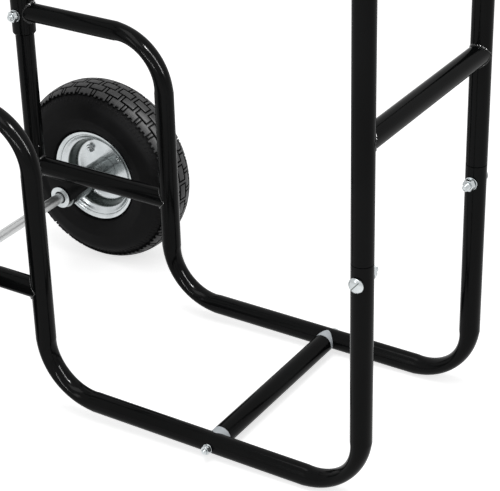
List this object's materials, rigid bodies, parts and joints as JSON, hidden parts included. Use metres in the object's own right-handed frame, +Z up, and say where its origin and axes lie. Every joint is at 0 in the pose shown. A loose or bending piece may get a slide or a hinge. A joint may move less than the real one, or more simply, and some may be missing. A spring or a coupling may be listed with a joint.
{
  "type": "fireside log cart",
  "caption": "Two-wheeled cart of bent black tube with an open cradle for a stack of logs, a front hoop and a rear handle hoop, on pneumatic tyres.",
  "frame": {"origin": "on the floor, under the middle of the cart's bounding box", "axes": "+X across the cart to the right, along the axle; -Y towards the front hoop, +Y towards the wheels and handle; +Z up"},
  "size_m": [0.5656, 0.8072, 1.1127],
  "materials": {
    "black_paint": "gloss black powder coat on steel tube",
    "zinc_plate": "bright zinc plate on steel",
    "tyre_rubber": "matte black rubber",
    "tube_rubber": "matte black rubber",
    "pale_saddle": "pale blue-grey moulded plastic",
    "bush_nylon": "natural nylon",
    "grip_foam": "matte black foam"
  },
  "bodies": {
    "cart_frame": {"side_tube_left": "black_paint", "rear_sleeve_left": "black_paint", "axle_rail_left": "black_paint", "axle_bracket_left": "black_paint", "side_tube_right": "black_paint", "rear_sleeve_right": "black_paint", "axle_rail_right": "black_paint", "axle_bracket_right": "black_paint", "front_hoop": "black_paint", "front_brace": "black_paint", "handle_hoop": "black_paint", "rear_brace": "black_paint", "bottom_crossbar": "black_paint", "front_bolt_left": "zinc_plate", "front_washer_left": "zinc_plate", "front_nut_left": "zinc_plate", "rear_bolt_left": "zinc_plate", "rear_washer_left": "zinc_plate", "rear_nut_left": "zinc_plate", "axle_washer_inner_left": "zinc_plate", "axle_washer_outer_left": "zinc_plate", "cotter_pin_left": "zinc_plate", "front_bolt_right": "zinc_plate", "front_washer_right": "zinc_plate", "front_nut_right": "zinc_plate", "rear_bolt_right": "zinc_plate", "rear_washer_right": "zinc_plate", "rear_nut_right": "zinc_plate", "axle_washer_inner_right": "zinc_plate", "axle_washer_outer_right": "zinc_plate", "cotter_pin_right": "zinc_plate", "tie_bolt": "zinc_plate", "tie_washer": "zinc_plate", "tie_nut": "zinc_plate", "axle_rod": "zinc_plate", "crossbar_saddle_left": "pale_saddle", "crossbar_saddle_right": "pale_saddle", "handle_grip": "grip_foam"},
    "wheel_left": {"tyre_left": "tyre_rubber", "inner_tube_left": "tube_rubber", "rim_inner_half_left": "zinc_plate", "rim_outer_half_left": "zinc_plate", "hub_tube_left": "zinc_plate", "hub_bush_left": "bush_nylon", "rim_bolt_1_left": "zinc_plate", "rim_bolt_2_left": "zinc_plate", "rim_bolt_3_left": "zinc_plate", "rim_bolt_4_left": "zinc_plate"},
    "wheel_right": {"tyre_right": "tyre_rubber", "inner_tube_right": "tube_rubber", "rim_inner_half_right": "zinc_plate", "rim_outer_half_right": "zinc_plate", "hub_tube_right": "zinc_plate", "hub_bush_right": "bush_nylon", "rim_bolt_1_right": "zinc_plate", "rim_bolt_2_right": "zinc_plate", "rim_bolt_3_right": "zinc_plate", "rim_bolt_4_right": "zinc_plate"}
  },
  "joints": [
    {"name": "wheel_left_spin", "type": "hinge", "parent": "cart_frame", "child": "wheel_left", "pos_m": [-0.235, 0.25182, 0.13], "axis": [1, 0, 0], "continuous": true},
    {"name": "wheel_right_spin", "type": "hinge", "parent": "cart_frame", "child": "wheel_right", "pos_m": [0.235, 0.25182, 0.13], "axis": [1, 0, 0], "continuous": true}
  ]
}
